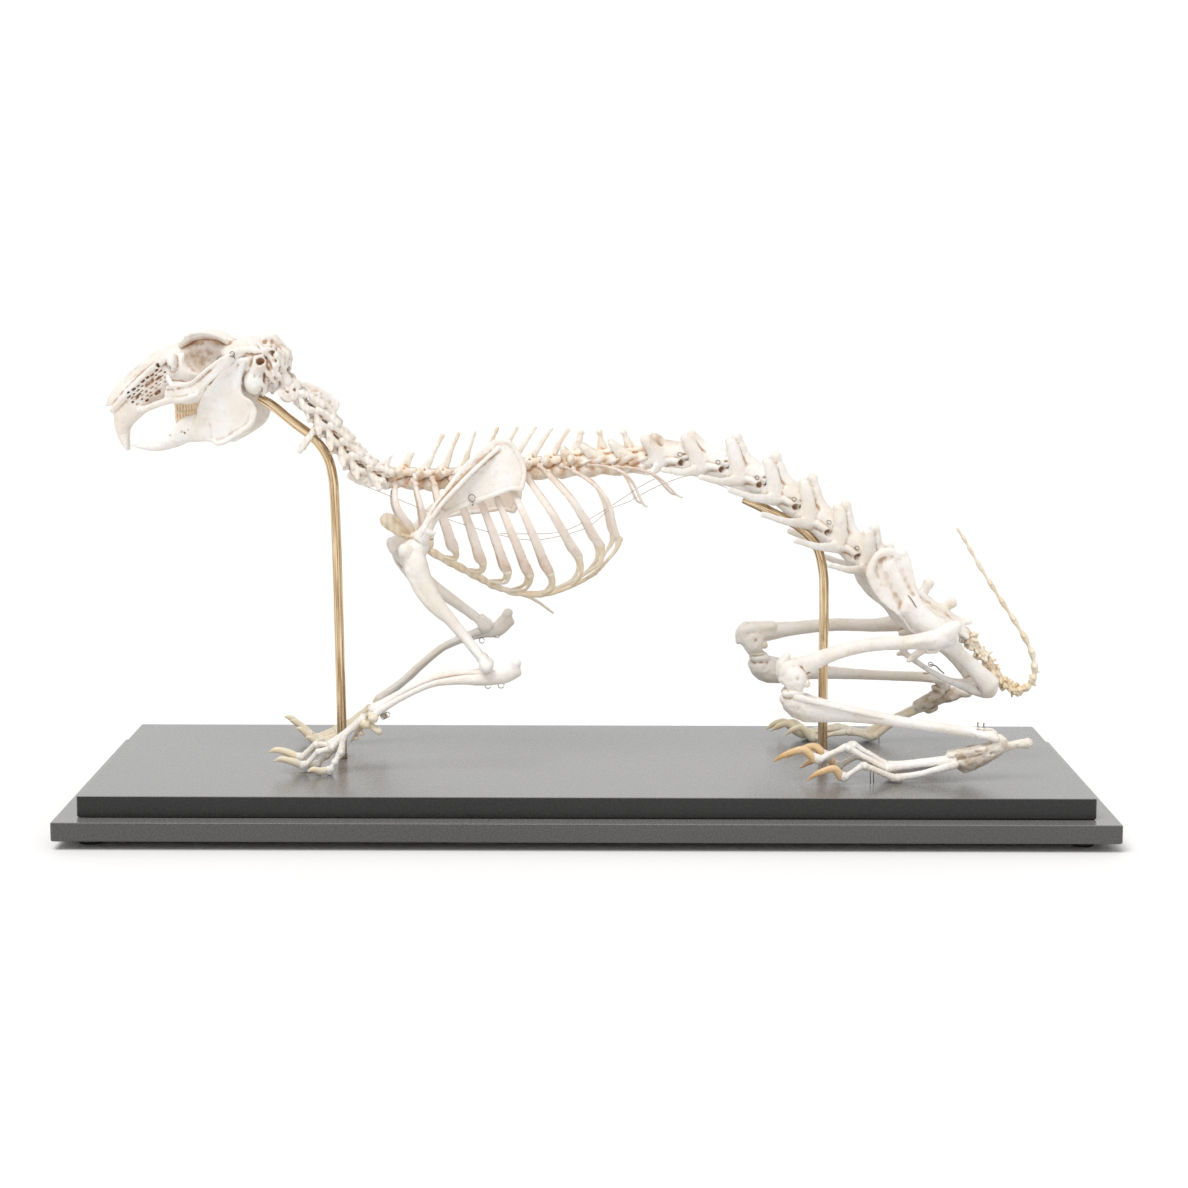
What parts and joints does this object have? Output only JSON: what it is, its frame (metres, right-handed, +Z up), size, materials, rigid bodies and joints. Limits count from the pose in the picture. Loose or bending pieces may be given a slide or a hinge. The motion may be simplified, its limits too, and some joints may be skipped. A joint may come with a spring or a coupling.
{
  "type": "mounted rabbit skeleton",
  "caption": "Rabbit skeleton in a low standing pose, head raised, held by two bent rods on a stepped rectangular board with small feet, for display",
  "frame": {"origin": "middle of the base in X and Y, at the level that its four feet stand on", "axes": "-X towards the head, +X towards the tail, -Y towards the animal's left side, +Z up"},
  "size_m": [0.5, 0.2, 0.237],
  "materials": {
    "bone": "dry ivory bone, matt",
    "stained_bone": "dry bone with tan stains, matt",
    "slab": "board with a dark grey satin coat",
    "rubber": "matt black",
    "rod": "dull polished rod"
  },
  "bodies": {
    "root": {"skull": "bone", "mandible": "bone", "cervical_spine": "bone", "thoracic_spine": "stained_bone", "lumbar_spine": "bone", "sacrum": "bone", "tail_base": "stained_bone", "tail_tip": "bone", "ribs_left": "bone", "humerus_left": "bone", "forearm_left": "bone", "forefoot_left": "bone", "scapula_left": "bone", "hip_left": "bone", "femur_left": "bone", "kneecap_left": "bone", "tibia_left": "bone", "hindfoot_left": "bone", "ribs_right": "bone", "humerus_right": "bone", "forearm_right": "bone", "forefoot_right": "bone", "scapula_right": "bone", "hip_right": "bone", "femur_right": "bone", "kneecap_right": "bone", "tibia_right": "bone", "hindfoot_right": "bone", "stand_base_lower": "slab", "stand_base_upper": "slab", "stand_foot_1": "rubber", "stand_foot_2": "rubber", "stand_foot_3": "rubber", "stand_foot_4": "rubber", "stand_rod_front": "rod", "stand_rod_rear": "rod"}
  },
  "joints": []
}
